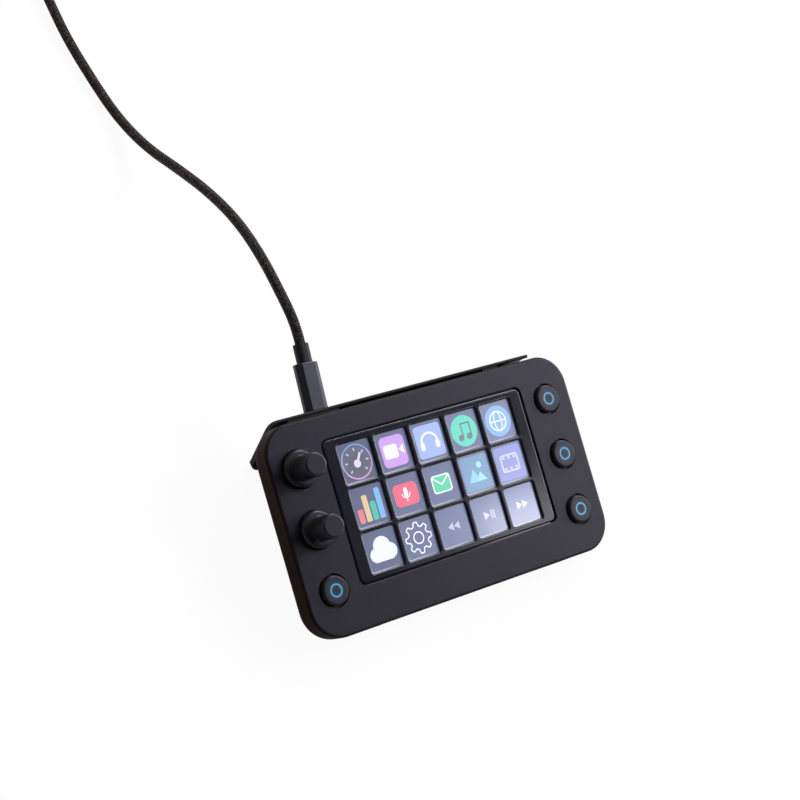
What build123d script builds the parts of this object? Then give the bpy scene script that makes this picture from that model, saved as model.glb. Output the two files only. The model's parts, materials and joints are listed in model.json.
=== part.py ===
from build123d import *
import os
from math import cos, pi, radians, sin, tan

# Desktop macro keypad: a tilted slab on a clip-on leg, with two push-and-turn knobs, four push
# buttons with light rings, a 5 x 3 touch display and a braided USB cord. Millimetres.
# Sub-parts are drawn in the slab's own frame (X right, Y up the face, Z out of the face, origin at
# the middle of the face) and are tilted onto the table at the end.

# ---- casing ----
body_length = 150.0
body_height = 84.4
body_depth = 12.0
corner_radius = 13.0
face_round = 1.2
back_round = 5.0
side_wall = 2.0
face_thickness = 1.5
back_thickness = 1.4
cover_rim = 4.0            # width of the solid rim round the rear cover's pocket
cover_thickness = 2.5      # from the joint line to the back
lip_height = 1.5
lip_thickness = 0.9
lip_clearance = 0.1
tilt = 18.0                # face to table, degrees

# ---- display ----
window_from_side = 25.0    # face left bare round the window
window_from_top = 9.85
window_from_bottom = 16.25
window_radius = 3.0
window_gap = 0.4
window_chamfer = 0.3
key_columns = 5
key_rows = 3
keys_from_side = 6.7       # window to the outer keys
keys_from_top = 3.6
keys_from_bottom = 3.2
key_upright = 2.4          # width of the grid's uprights, between keys
key_bar = 1.9              # width of its crossbars
key_radius = 0.9
key_frame_recess = 0.25
key_frame_round = 0.9
key_edge_round = 0.8
glass_overlap = 2.0        # glued margin of the glass behind the face
glass_thickness = 0.8
panel_side_inset = 1.0     # panel smaller than the window, each side
panel_end_inset = 1.15
backplate_thickness = 0.5
foam_thickness = 1.0
foam_side_inset = 14.0     # foam smaller than the panel, each side
foam_end_inset = 8.0
flex_width = 30.0
flex_thickness = 0.2
flex_bulge = 1.8           # how far the flex stands out below the panel
flex_landing = 3.6         # length of the flex that lies on the board

# ---- boards ----
board_side_gap = 2.0       # board clear of the cover's lip
board_end_gap = 0.7
board_radius = 9.0
board_thickness = 1.2
knob_board_length = 17.0
knob_board_margin = 6.5    # board beyond the outer encoder's centre
knob_board_thickness = 1.0
knob_board_lift = 0.2
bay_gap = 2.5              # main board clear of the knob board, below it
link_landing = 5.0         # length of the link that lies on the main board
link_foot = 2.0            # length of the link that lies on the knob board
link_slack = 2.0           # link narrower than the strip between the encoders
post_radius = 2.0
post_inset = 14.5          # from the board's side edge to its posts
left_post_above_button = 9.0
middle_post_from_top = 5.6
middle_post_from_bottom = 8.2
case_post_radius = 2.8
case_post_from_side = 8.5
case_post_from_top = 8.2
case_pad_margin = 0.4
post_clearance = 0.6
screw_radius = 1.0
screw_hole_clearance = 0.03
screw_head_radius = 1.8
screw_head_height = 1.2
screw_slot_width = 0.5
screw_slot_depth = 0.5
screw_head_sink = 0.1
screw_length = 4.0
case_screw_length = 6.0
head_clearance = 0.25
can_size = 24.0
can_height = 2.4
motor_radius = 5.0
motor_height = 3.0
motor_from_side = 32.0     # from the board's side edge
motor_from_bottom = 18.5

# ---- controls ----
control_from_side = 12.8   # columns of controls, middle to the casing's side
control_from_top = 18.2    # outer controls, middle to the casing's top or bottom edge
button_radius = 5.8
button_hole_radius = 6.7
button_proud = 1.6
button_edge = 0.9
button_top = 1.2
button_flange_radius = 7.4
button_flange_thickness = 0.8
button_flange_clearance = 0.15
button_bore_radius = 4.4
button_stem_radius = 1.6
button_travel = 0.6
ring_radius = 2.6
ring_width = 0.45
ring_depth = 0.5
ring_clearance = 0.02
switch_size = 6.0
switch_height = 2.0
switch_bore_clearance = 0.3
stem_engagement = 0.1
led_size = 1.2
led_height = 0.7
led_offset = 4.4

knob_skirt_radius = 7.5
knob_skirt_height = 3.4    # above the face
knob_shoulder_round = 1.6
knob_stem_radius = 4.8
knob_height = 13.3
knob_edge = 1.0
knob_fillet = 0.5
knob_sink = 0.9            # skirt below the face
knob_gap = 0.4
knob_wall = 1.2
knob_hollow_margin = 0.4   # between the shoulder's round and the hollow behind it
knob_travel = 0.8
well_wall = 1.3
well_floor = 1.0
encoder_size = 11.6
encoder_height = 5.5
encoder_wall = 0.8
bushing_radius = 3.5
bushing_below_face = 0.2
shaft_radius = 3.0
shaft_clearance = 0.03
shaft_end_wall = 1.8       # knob material beyond the shaft's end
shaft_flat = 1.5           # depth of the D flat
shaft_flange_radius = 4.5
shaft_flange_thickness = 1.0
plunger_radius = 2.5
plunger_height = 1.5
moving_gap = 0.2
nut_across_flats = 9.0
nut_height = 1.3
washer_radius = 5.2
washer_thickness = 0.4
thread_clearance = 0.03

# ---- stand and feet ----
stand_from_side = 12.3
stand_gap = 0.9
stand_rim_thickness = 1.4
stand_leg_thickness = 2.4
stand_rim_depth = 4.8      # near edge, below the face
stand_straight = 2.7
stand_bend_radius = 20.0
stand_bend = 27.5          # degrees
stand_end_round = 0.65
flange_thickness = 1.8
flange_reach = 34.0        # down the back, from the top edge
flange_margin = 4.0
rib_thickness = 2.0
rib_inset = 3.0
rib_count = 4
lug_clearance = 0.2
lug_bite = 0.9
right_lug_from_side = 33.1
right_lug_length = 7.9
right_lug_depth = 3.0
port_lug_length = 24.0
port_lug_offset = 4.0      # lug's middle, left of the port
port_bar = 1.0
tab_x = 35.0
tab_below_top = 28.0
tab_length = 6.0
tab_thickness = 1.4
tab_reach = 2.4
tab_clearance = 0.15
foot_strip_width = 4.2
foot_strip_height = 1.5
foot_strip_inset = 0.1     # strip shorter than the leg, each end
foot_strip_round = 2.0
pad_length = 24.0
pad_width = 9.0
pad_height = 3.6
pad_proud = 0.8
pad_from_side = 27.0

# ---- USB-C plug and port ----
port_from_side = 32.4
port_length = 8.94
port_height = 3.16
port_depth = 7.3
port_wall = 0.3
port_back = 1.0
port_tongue_inset = 0.8
port_tongue_narrower = 1.7
port_inset = 1.2           # mouth below the casing's top edge
port_lift = 0.24           # clear of the rear cover
port_clearance = 0.15
plug_tip_length = 8.25
plug_tip_height = 2.4
plug_tip_depth = 6.5
plug_wall = 0.25
tongue_thickness = 0.7
plug_embed = 0.6           # end of the tip inside the grip
plug_yaw = 3.2             # the plug sits askew by the port's play, degrees
overmold_length = 20.7
overmold_width = 10.4
overmold_height = 5.6
overmold_flat = 5.6        # width of the grip's flat faces
overmold_side = 2.2        # height of its upright sides
overmold_flat_round = 0.3
overmold_side_round = 1.0
overmold_edge = 0.4
overmold_gap = 0.6
slot_clearance = 0.4
neck_length = 7.8
neck_width = 6.4
neck_height = 5.2
neck_round = 2.5

# ---- cord ----
cord_diameter = 4.2
cord_lead = 8.0            # straight out of the neck
cord_bend_share = 0.45     # part of the shorter run that an arc takes up
coil_mid_radius = 24.0
coil_stub = 17.0           # straight part of the first and last turn that leaves the coil
coil_columns = 4
coil_layers = 2
tie_thickness = 0.8
tie_clearance = 0.1
tie_angle = 24.0           # width of the tie, degrees round the coil
tie_from = -60.0
plug_a_length = 22.0
plug_a_width = 15.6
plug_a_height = 8.0
plug_a_edge = 1.2
plug_a_round = 2.0
plug_a_tip_length = 14.0
plug_a_tip_width = 12.0
plug_a_tip_height = 4.5
plug_a_tip_wall = 0.4
plug_a_tongue = 1.9
plug_a_sleeve_length = 6.0
plug_a_sleeve_radius = 3.2

# ---- the cord's route from its lead to the coil, which lies behind it on the table ----
coil_low = tie_thickness + 2 * tie_clearance
coil_side_x = -57.5
coil_y = 307.0
coil_outer_turn = coil_mid_radius + (coil_columns - 1) * cord_diameter / 2
coil_x = coil_side_x + coil_outer_turn
entry_z = coil_low + cord_diameter / 2
tail_z = coil_low + (coil_layers - 0.5) * cord_diameter
cord_route = [(-42.9, 88.0, 43.8), (-43.6, 105.5, 44.1), (-43.5, 125.0, 39.7), (-44.5, 144.5, 31.6),
              (-46.0, 164.0, 20.5), (-48.3, 184.0, 8.6), (-51.2, 205.0, 2.3), (-54.8, 228.0, 2.2),
              (-57.2, 249.5, 2.4), (coil_side_x, 270.0, entry_z), (coil_side_x, coil_y - coil_stub, entry_z)]
far_plug_z = plug_a_height / 2 + tie_clearance
tail_route = [(coil_side_x, coil_y + coil_stub, tail_z), (coil_side_x, 340.0, tail_z),
              (-50.8, 355.5, 5.4), (-37.0, 364.5, far_plug_z), (-21.5, 364.5, far_plug_z)]

# ---- levels along Z, below the face: the board and display are stacked up from the port ----
back = -body_depth
seam = back + cover_thickness
case_head_z = back + screw_head_height + screw_head_sink
cover_inside = back + back_thickness
port_z = cover_inside + port_lift + port_height / 2
board_under = port_z + port_height / 2
board_top = board_under + board_thickness
backplate_under = board_top + foam_thickness
panel_under = backplate_under + backplate_thickness
face_under = -face_thickness
glass_under = face_under - glass_thickness
knob_board_top = cover_inside + knob_board_lift + knob_board_thickness
well_under = knob_board_top + encoder_height
well_top = well_under + well_floor
button_flange_top = face_under - button_flange_clearance
button_flange_under = button_flange_top - button_flange_thickness
switch_top = board_top + switch_height
button_stem_under = switch_top - stem_engagement

# ---- places on the face and sizes of what fits inside the casing ----
top_edge = body_height / 2
side_edge = body_length / 2
window_length = body_length - 2 * window_from_side
window_height = body_height - window_from_top - window_from_bottom
window_above_middle = (window_from_bottom - window_from_top) / 2
key_pitch_x = (window_length - 2 * keys_from_side + key_upright) / key_columns
key_pitch_y = (window_height - keys_from_top - keys_from_bottom + key_bar) / key_rows
keys_above_middle = window_above_middle + (keys_from_bottom - keys_from_top) / 2
key_length = key_pitch_x - key_upright
key_height = key_pitch_y - key_bar
panel_length = window_length - 2 * panel_side_inset
panel_height = window_height - 2 * panel_end_inset
foam_length = panel_length - 2 * foam_side_inset
foam_height = panel_height - 2 * foam_end_inset
lip_inside = side_wall + lip_clearance + lip_thickness
board_length = body_length - 2 * (lip_inside + board_side_gap)
board_height = body_height - 2 * (lip_inside + board_end_gap)
motor_x = board_length / 2 - motor_from_side
motor_y = motor_from_bottom - board_height / 2
control_x = side_edge - control_from_side
control_pitch = top_edge - control_from_top
port_x = port_from_side - side_edge
right_lug_x = side_edge - right_lug_from_side
pad_x = side_edge - pad_from_side
stand_length = body_length - 2 * stand_from_side
stand_outer = top_edge + stand_gap + stand_rim_thickness
stand_inner = top_edge + stand_gap
rim_z = -stand_rim_depth
knob_hole_radius = knob_skirt_radius + knob_gap
case_post_x = side_edge - case_post_from_side
case_post_y = top_edge - case_post_from_top
port_mouth = top_edge - port_inset
overmold_nose = top_edge + overmold_gap
neck_end = overmold_nose + overmold_length + neck_length

knob_spots = [(-control_x, control_pitch), (-control_x, 0)]
button_spots = [(control_x, control_pitch), (control_x, 0), (control_x, -control_pitch)]
button_spots += [(-control_x, -control_pitch)]
button_names = ["right_upper", "right_middle", "right_lower", "left"]
knob_names = ["upper", "lower"]
case_posts = [(sx * case_post_x, sy * case_post_y) for sx in (-1, 1) for sy in (-1, 1)]
side_post_x = board_length / 2 - post_inset
board_posts = [(side_post_x, control_pitch / 2), (side_post_x, -control_pitch / 2)]
board_posts += [(-side_post_x, left_post_above_button - control_pitch)]
board_posts += [(0, top_edge - middle_post_from_top), (0, middle_post_from_bottom - top_edge)]

# ---- height of the tilted face's middle above the table ----
down_y, down_z = sin(radians(tilt)), cos(radians(tilt))
edge_drop = (body_height / 2 - back_round) * down_y + (body_depth - back_round) * down_z + back_round
table_drop = edge_drop + pad_proud


def slab(length, height, radius, top, bottom, x=0, y=0):
    """A plate with rounded corners between two levels."""
    return Pos(x, y, bottom) * extrude(RectangleRounded(length, height, radius), top - bottom)


def rod(radius, top, bottom, x=0, y=0):
    """A round bar along Z between two levels."""
    low = (Align.CENTER, Align.CENTER, Align.MIN)
    return Pos(x, y, bottom) * Cylinder(radius, top - bottom, align=low)


def block(length, height, top, bottom, x=0, y=0):
    """A square-cornered box between two levels."""
    low = (Align.CENTER, Align.CENTER, Align.MIN)
    return Pos(x, y, bottom) * Box(length, height, top - bottom, align=low)


def profile_along_x(points, length, x=0):
    """A closed outline of (y, z) points, carried along X and centred on x."""
    outline = make_face(Polyline(*[(0, y, z) for y, z in points], close=True))
    return Pos(x - length / 2, 0, 0) * extrude(outline, length, dir=(1, 0, 0))


def oblong(width, height, radius, start, end):
    """A rounded bar along Y, centred on the port's axis."""
    section = Plane(origin=(port_x, start, port_z), x_dir=(1, 0, 0), z_dir=(0, 1, 0))
    return extrude(section * RectangleRounded(width, height, radius), end - start)


def skewed(shape):
    """Turned with the plug about the middle of the grip's front end."""
    pivot = Pos(port_x, overmold_nose, port_z)
    return pivot * Rot(0, 0, -plug_yaw) * pivot.inverse() * shape


def level(y, z):
    """Height of a point of the slab's frame above the table."""
    return y * down_y + z * down_z + table_drop


def below_table(raise_by=0.0):
    """A large block that fills all that lies lower than raise_by above the table."""
    size = 3 * body_length
    low = (Align.CENTER, Align.CENTER, Align.MAX)
    on_table = Rot(-tilt, 0, 0) * Pos(0, 0, raise_by - table_drop)
    return on_table * Box(size, size, size, align=low)


def casing():
    """The outer form of both shells together."""
    form = slab(body_length, body_height, corner_radius, 0, back)
    form = fillet(form.faces().sort_by(Axis.Z)[0].edges(), back_round)
    return fillet(form.faces().sort_by(Axis.Z)[-1].edges(), face_round)


def port_slot():
    """The opening in the top wall in which the port's mouth lies."""
    length = port_length + 2 * port_clearance
    height = port_height + 2 * port_clearance
    inner = top_edge - side_wall - lip_clearance - lip_thickness - cover_rim
    return oblong(length, height, height / 2 - port_clearance, inner, top_edge + 1)


def lug_blocks(grow=0.0):
    """The two lugs on the stand's rim; grown, they are the notches that take them."""
    lugs = []
    for x, length, depth in [(right_lug_x, right_lug_length, right_lug_depth),
                             (port_x - port_lug_offset, port_lug_length, port_bar)]:
        height = stand_gap + lug_bite + 2 * grow
        middle = top_edge + (stand_gap - lug_bite) / 2
        lugs.append(block(length + 2 * grow, height, rim_z + grow, rim_z - depth - grow, x, middle))
    return lugs


def tab_blocks(grow=0.0):
    """The snap tabs that pass through the rear cover."""
    y = top_edge - tab_below_top
    return [block(tab_length + 2 * grow, tab_thickness + 2 * grow, back + tab_reach + grow, back - grow,
                  side * tab_x, y) for side in (-1, 1)]


def front_shell():
    """Face, side walls, button holes, knob wells and screw posts."""
    cavity = slab(body_length - 2 * side_wall, body_height - 2 * side_wall, corner_radius - side_wall,
                  face_under, back)
    shell = casing() - cavity - block(2 * body_length, 2 * body_height, seam, 2 * back)
    window = slab(window_length, window_height, window_radius, 1, face_under, 0, window_above_middle)
    for x, y in knob_spots:
        shell += rod(knob_hole_radius + well_wall, face_under, well_under, x, y)
    for x, y in case_posts:
        shell += rod(case_post_radius, face_under, seam, x, y)
    for x, y in board_posts:
        shell += rod(post_radius, face_under, board_top, x, y)
    shell -= window
    rim_edges = shell.edges().filter_by_position(Axis.Z, -1e-4, 1e-4)
    opening = [e for e in rim_edges if abs(e.center().X) < window_length / 2 + 1]
    shell = chamfer(opening, window_chamfer)
    hole = screw_radius + screw_hole_clearance
    for x, y in knob_spots:
        shell -= rod(knob_hole_radius, 1, well_top, x, y)
        shell -= rod(bushing_radius + thread_clearance, well_top, well_under, x, y)
    for x, y in button_spots:
        shell -= rod(button_hole_radius, 1, face_under, x, y)
    for x, y in case_posts:
        shell -= rod(hole, case_head_z + case_screw_length, seam, x, y)
    for x, y in board_posts:
        shell -= rod(hole, board_under + screw_length, board_top, x, y)
    for notch in lug_blocks(lug_clearance):
        shell -= notch
    return shell - port_slot()


def rear_cover():
    """Back plate with a pocket, a locating lip and counterbored screw pads."""
    room = block(2 * body_length, 2 * body_height, 2, seam)
    pocket = slab(body_length - 2 * cover_rim, body_height - 2 * cover_rim, corner_radius - cover_rim,
                  1, cover_inside)
    cover = casing() - room - pocket
    inset = side_wall + lip_clearance
    lip = slab(body_length - 2 * inset, body_height - 2 * inset, corner_radius - inset,
               seam + lip_height, seam)
    inset += lip_thickness
    lip -= slab(body_length - 2 * inset, body_height - 2 * inset, corner_radius - inset, 1, seam)
    cover += lip
    for x, y in case_posts:
        cover += rod(case_post_radius + case_pad_margin, seam, cover_inside, x, y)
    for x, y in case_posts:
        cover -= rod(screw_radius + head_clearance, seam, back, x, y)
        cover -= rod(screw_head_radius + head_clearance, case_head_z, back, x, y)
    for hole in tab_blocks(tab_clearance):
        cover -= hole
    return cover - port_slot()


def key_frame():
    """Black grid that fills the window, with one hole for each key picture."""
    gap = 2 * window_gap
    frame = slab(window_length - gap, window_height - gap, window_radius - window_gap,
                 -key_frame_recess, face_under, 0, window_above_middle)
    outer_edges = frame.faces().sort_by(Axis.Z)[-1].edges()
    frame = fillet(outer_edges, key_frame_round)
    land = frame.faces().sort_by(Axis.Z)[-1].edges()
    for column in range(key_columns):
        for row in range(key_rows):
            x = (column - (key_columns - 1) / 2) * key_pitch_x
            y = keys_above_middle + (row - (key_rows - 1) / 2) * key_pitch_y
            frame -= slab(key_length, key_height, key_radius, 1, face_under, x, y)
    rims = frame.faces().sort_by(Axis.Z)[-1].edges()
    wells = [e for e in rims if min((e.center() - edge.center()).length for edge in land) > key_edge_round]
    return fillet(wells, key_edge_round)


def display_layer(length, height, top, bottom):
    """A flat layer of the display, centred behind the window."""
    return block(length, height, top, bottom, 0, window_above_middle)


def display_flex():
    """Ribbon that leaves the panel's lower edge and lands on the board."""
    edge = window_above_middle - panel_height / 2
    top = (glass_under + panel_under) / 2
    out = edge - flex_bulge
    foot = out - flex_landing
    thick = flex_thickness
    outline = [(edge, top), (out, top), (out, board_top + thick), (foot, board_top + thick),
               (foot, board_top), (out + thick, board_top), (out + thick, top - thick),
               (edge, top - thick)]
    return profile_along_x(outline, flex_width)


def main_board():
    """Circuit board with a bay for the knob board and clearance for the case posts."""
    board = slab(board_length, board_height, board_radius, board_top, board_under)
    bay_edge = -control_x + knob_board_length / 2 + 2 * moving_gap
    low_edge = -knob_board_margin - bay_gap
    board -= block(board_length, board_height, 1, back, bay_edge - board_length / 2,
                   low_edge + board_height / 2)
    for x, y in case_posts:
        board -= rod(case_post_radius + post_clearance, board_top, board_under, x, y)
    for x, y in board_posts:
        board -= rod(screw_radius + head_clearance, board_top, board_under, x, y)
    return board


def knob_board():
    """Small board on the rear cover that carries both encoders."""
    height = control_pitch + 2 * knob_board_margin
    return block(knob_board_length, height, knob_board_top, knob_board_top - knob_board_thickness,
                 -control_x, control_pitch / 2)


def board_link():
    """Ribbon between the two boards, in the free strip between the encoders."""
    thick = flex_thickness
    start = -control_x + knob_board_length / 2 + 6 * moving_gap
    end = -control_x + encoder_size / 2 + 2 * moving_gap
    far, bent = start + link_landing, end + link_foot
    outline = [(far, board_under), (start, board_under), (bent, knob_board_top + thick),
               (end, knob_board_top + thick), (end, knob_board_top), (bent + thick, knob_board_top),
               (start + thick, board_under - thick), (far, board_under - thick)]
    width = control_pitch - encoder_size - link_slack
    face = make_face(Polyline(*[(x, control_pitch / 2 - width / 2, z) for x, z in outline], close=True))
    return extrude(face, width, dir=(0, 1, 0))


def screws(spots, head_z, length):
    """Pan-head screws that point out of the back, all in one group."""
    group = []
    for x, y in spots:
        head = rod(screw_head_radius, head_z, head_z - screw_head_height, x, y)
        head -= block(screw_head_radius * 1.2, screw_slot_width,
                      head_z - screw_head_height + screw_slot_depth, head_z - screw_head_height, x, y)
        group.append(head + rod(screw_radius, head_z + length, head_z, x, y))
    return Compound(children=group)


def usb_receptacle():
    """Metal port shell with its tongue, soldered behind the main board."""
    outside = oblong(port_length, port_height, port_height / 2 - 0.01, port_mouth - port_depth, port_mouth)
    inside = oblong(port_length - 2 * port_wall, port_height - 2 * port_wall,
                    port_height / 2 - port_wall - 0.01, port_mouth - port_depth + port_back, port_mouth)
    tongue = oblong(plug_tip_length - port_tongue_narrower, tongue_thickness, tongue_thickness / 2 - 0.01,
                    port_mouth - port_depth, port_mouth - port_tongue_inset)
    return outside - inside + tongue


def encoder_body(x, y):
    """Encoder case: a box with the detent chamber, open at the top for the shaft."""
    body = block(encoder_size, encoder_size, well_under, knob_board_top, x, y)
    body -= rod(shaft_flange_radius + moving_gap, well_under - encoder_wall, knob_board_top + encoder_wall / 2,
                x, y)
    return body - rod(shaft_radius + 2 * moving_gap, well_under, well_under - encoder_wall, x, y)


def encoder_bushing(x, y):
    """Threaded bushing that passes through the well floor and guides the shaft."""
    bushing = rod(bushing_radius, -bushing_below_face, well_under, x, y)
    return bushing - rod(shaft_radius + shaft_clearance, 0, well_under, x, y)


def encoder_nut(x, y):
    """Washer and hexagon nut that clamp the bushing to the well floor, two solids."""
    hole = rod(bushing_radius + thread_clearance, 0, well_under, x, y)
    washer = rod(washer_radius, well_top + washer_thickness, well_top, x, y) - hole
    hexagon = RegularPolygon(nut_across_flats / 2, 6, major_radius=False)
    nut = Pos(x, y, well_top + washer_thickness) * extrude(hexagon, nut_height) - hole
    return Compound(children=[washer, nut])


def shaft_levels():
    """Top and underside of the shaft's flange inside the encoder."""
    top = well_under - encoder_wall - moving_gap
    return top, top - shaft_flange_thickness


def encoder_shaft(x, y):
    """Round shaft with a D flat in the knob and a flange in the encoder."""
    flange_top, flange_under = shaft_levels()
    end = knob_height - shaft_end_wall
    shaft = rod(shaft_radius, end, flange_top, x, y)
    flat = block(2 * shaft_radius, 2 * shaft_radius, end, knob_skirt_height,
                 x, y + 2 * shaft_radius - shaft_flat)
    return shaft - flat + rod(shaft_flange_radius, flange_top, flange_under, x, y)


def push_plunger(x, y):
    """Disc under the shaft that travels with it and never turns."""
    top = shaft_levels()[1] - moving_gap / 2
    return rod(plunger_radius, top, top - plunger_height, x, y)


def knob(x, y):
    """Turned knob: skirt with a rounded shoulder, slim stem, hollow behind, D bore."""
    skirt = rod(knob_skirt_radius, knob_skirt_height, -knob_sink, x, y)
    skirt = fillet(skirt.faces().sort_by(Axis.Z)[-1].edges(), knob_shoulder_round)
    body = skirt + rod(knob_stem_radius, knob_height, knob_skirt_height / 2, x, y)
    root_edges = body.edges().filter_by(GeomType.CIRCLE).filter_by_position(
        Axis.Z, knob_skirt_height - 0.01, knob_skirt_height + 0.01)
    body = fillet([e for e in root_edges if e.radius < knob_stem_radius + 0.01], knob_fillet)
    body = fillet(body.faces().sort_by(Axis.Z)[-1].edges(), knob_edge)
    hollow_top = knob_skirt_height - knob_shoulder_round - knob_hollow_margin
    body -= rod(knob_skirt_radius - knob_wall, hollow_top, -knob_sink, x, y)
    bore = rod(shaft_radius + shaft_clearance, knob_height - shaft_end_wall, -knob_sink, x, y)
    flat = block(2.2 * shaft_radius, 2 * shaft_radius, knob_height, knob_skirt_height,
                 x, y + 2 * shaft_radius - shaft_flat + shaft_clearance)
    return body - (bore - flat)


def button_cap(x, y):
    """Button: round cap with a groove for the ring, a retaining flange and a stem."""
    cap = rod(button_radius, button_proud, button_flange_top, x, y)
    cap = fillet(cap.faces().sort_by(Axis.Z)[-1].edges(), button_edge)
    cap += rod(button_flange_radius, button_flange_top, button_flange_under, x, y)
    cap -= rod(button_bore_radius, button_proud - button_top, button_flange_under, x, y)
    cap += rod(button_stem_radius, button_proud - button_top, button_stem_under, x, y)
    groove = rod(ring_radius, button_proud, button_proud - ring_depth, x, y)
    groove -= rod(ring_radius - ring_width, button_proud, button_proud - ring_depth, x, y)
    return cap - groove


def button_ring(x, y):
    """Clear ring set flush into the cap."""
    low = button_proud - ring_depth
    ring = rod(ring_radius - ring_clearance, button_proud, low, x, y)
    return ring - rod(ring_radius - ring_width + ring_clearance, button_proud, low, x, y)


def button_switch(x, y):
    """Low tact switch on the main board with a well for the cap's stem."""
    body = block(switch_size, switch_size, switch_top, board_top, x, y)
    depth = stem_engagement + button_travel + moving_gap
    return body - rod(button_stem_radius + switch_bore_clearance, switch_top, switch_top - depth, x, y)


def ring_leds():
    """One small lamp beside each switch, four solids."""
    return Compound(children=[block(led_size, led_size, board_top + led_height, board_top,
                                    x, y + led_offset) for x, y in button_spots])


def leg_outline():
    """Inner and outer ends of the leg's bend and its straight run to the table."""
    bend = radians(stand_bend)
    start = rim_z - stand_straight
    centre = stand_outer - stand_bend_radius
    outer = (centre + stand_bend_radius * cos(bend), start - stand_bend_radius * sin(bend))
    inner = (outer[0] - stand_leg_thickness * cos(bend), outer[1] + stand_leg_thickness * sin(bend))
    run = (level(*outer) + foot_strip_width) / cos(bend - radians(tilt))
    step = (-run * sin(bend), -run * cos(bend))
    middle = radians(stand_bend / 2)
    outer_mid = (centre + stand_bend_radius * cos(middle), start - stand_bend_radius * sin(middle))
    return start, outer, outer_mid, inner, step


def stand_leg():
    """Curved leg plate: straight rim behind the top edge, one bend, straight to the foot."""
    start, outer, outer_mid, inner, step = leg_outline()
    outer_end = (outer[0] + step[0], outer[1] + step[1])
    inner_end = (inner[0] + step[0], inner[1] + step[1])

    def p(point):
        return (0, point[0], point[1])

    bend_in = Line(p((stand_inner, start)), p((stand_inner, start - 0.5)))
    edges = [Line(p((stand_outer, rim_z)), p((stand_outer, start))),
             ThreePointArc(p((stand_outer, start)), p(outer_mid), p(outer)),
             Line(p(outer), p(outer_end)), Line(p(outer_end), p(inner_end)),
             Line(p(inner_end), p(inner)),
             TangentArc(p((stand_inner, start - 0.5)), p(inner), tangent=(0, 0, -1)), bend_in,
             Line(p((stand_inner, start)), p((stand_inner, rim_z))),
             Line(p((stand_inner, rim_z)), p((stand_outer, rim_z)))]
    plate = make_face(Wire(edges))
    leg = Pos(-stand_length / 2, 0, 0) * extrude(plate, stand_length, dir=(1, 0, 0))
    near_edges = leg.edges().filter_by(Axis.X).sort_by(Axis.Z)[-2:]
    leg = fillet(near_edges, stand_end_round)
    return leg - below_table(foot_strip_height)


def stand():
    """Clip-on leg with its back flange, ribs, rim lugs and snap tabs, one moulding."""
    start, outer, outer_mid, inner, step = leg_outline()
    flange_low = top_edge - flange_reach
    flange_under = back - flange_thickness
    flange_top_y = inner[0] + 0.6
    length = stand_length - 2 * flange_margin
    flange = block(length, flange_top_y - flange_low, back, flange_under, 0, (flange_top_y + flange_low) / 2)
    body = stand_leg() + flange
    foot_run = (level(*inner) - foot_strip_height) / cos(radians(stand_bend) - radians(tilt))
    tip = (inner[0] - foot_run * sin(radians(stand_bend)) + 0.4, inner[1] - foot_run * cos(radians(stand_bend)))
    spread = (length - rib_thickness - 2 * rib_inset) / (rib_count - 1)
    for i in range(rib_count):
        x = -length / 2 + rib_thickness / 2 + rib_inset + i * spread
        rib = profile_along_x([(flange_low + rib_inset, flange_under + 0.2), tip,
                               (inner[0] + 0.4, inner[1]), (flange_top_y - 0.4, flange_under + 0.2)],
                              rib_thickness, x)
        body += rib - below_table(foot_strip_height)
    for part in lug_blocks() + tab_blocks():
        body += part
    slot_width = overmold_width + 2 * slot_clearance
    slot_top = rim_z - port_bar
    slot_under = port_z - overmold_height / 2 - slot_clearance
    body -= block(slot_width, 12, slot_top, slot_under, port_x, stand_outer)
    return body


def stand_foot():
    """Rubber strip along the leg's lower edge."""
    start, outer, outer_mid, inner, step = leg_outline()
    run = (level(*outer) - foot_strip_height) / cos(radians(stand_bend) - radians(tilt))
    outer_y = outer[0] - run * sin(radians(stand_bend))
    outer_z = outer[1] - run * cos(radians(stand_bend))
    strip = Box(stand_length - 2 * foot_strip_inset, foot_strip_width, foot_strip_height,
                align=(Align.CENTER, Align.MAX, Align.MAX))
    near_corners = strip.edges().filter_by(Axis.Z).sort_by(Axis.Y)[:2]
    strip = fillet(near_corners, foot_strip_round)
    return Pos(0, outer_y, outer_z) * Rot(-tilt, 0, 0) * strip


def front_feet():
    """Two rubber pads moulded to the lower back edge and flat on the table."""
    contact_y = -(body_height / 2 - back_round) - back_round * down_y
    contact_z = -(body_depth - back_round) - back_round * down_z
    form = casing()
    pads = []
    for side in (-1, 1):
        pad = Box(pad_length, pad_width, pad_height, align=(Align.CENTER, Align.CENTER, Align.MIN))
        pad = fillet(pad.edges().filter_by(Axis.Z), pad_width / 2 - 0.5)
        pad = Rot(-tilt, 0, 0) * Pos(0, 0, -pad_proud) * pad
        pads.append(Pos(side * pad_x, contact_y, contact_z) * pad - form)
    return Compound(children=pads)


def plug_shell():
    """Outside of the plug's metal tip."""
    return oblong(plug_tip_length, plug_tip_height, plug_tip_height / 2 - 0.01,
                  overmold_nose - plug_tip_depth, overmold_nose + plug_embed)


def plug_tip():
    """Metal tip of the USB-C plug, a thin oblong tube."""
    return plug_shell() - oblong(plug_tip_length - 2 * plug_wall, plug_tip_height - 2 * plug_wall,
                                 plug_tip_height / 2 - plug_wall - 0.01,
                                 overmold_nose - plug_tip_depth, overmold_nose)


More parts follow.
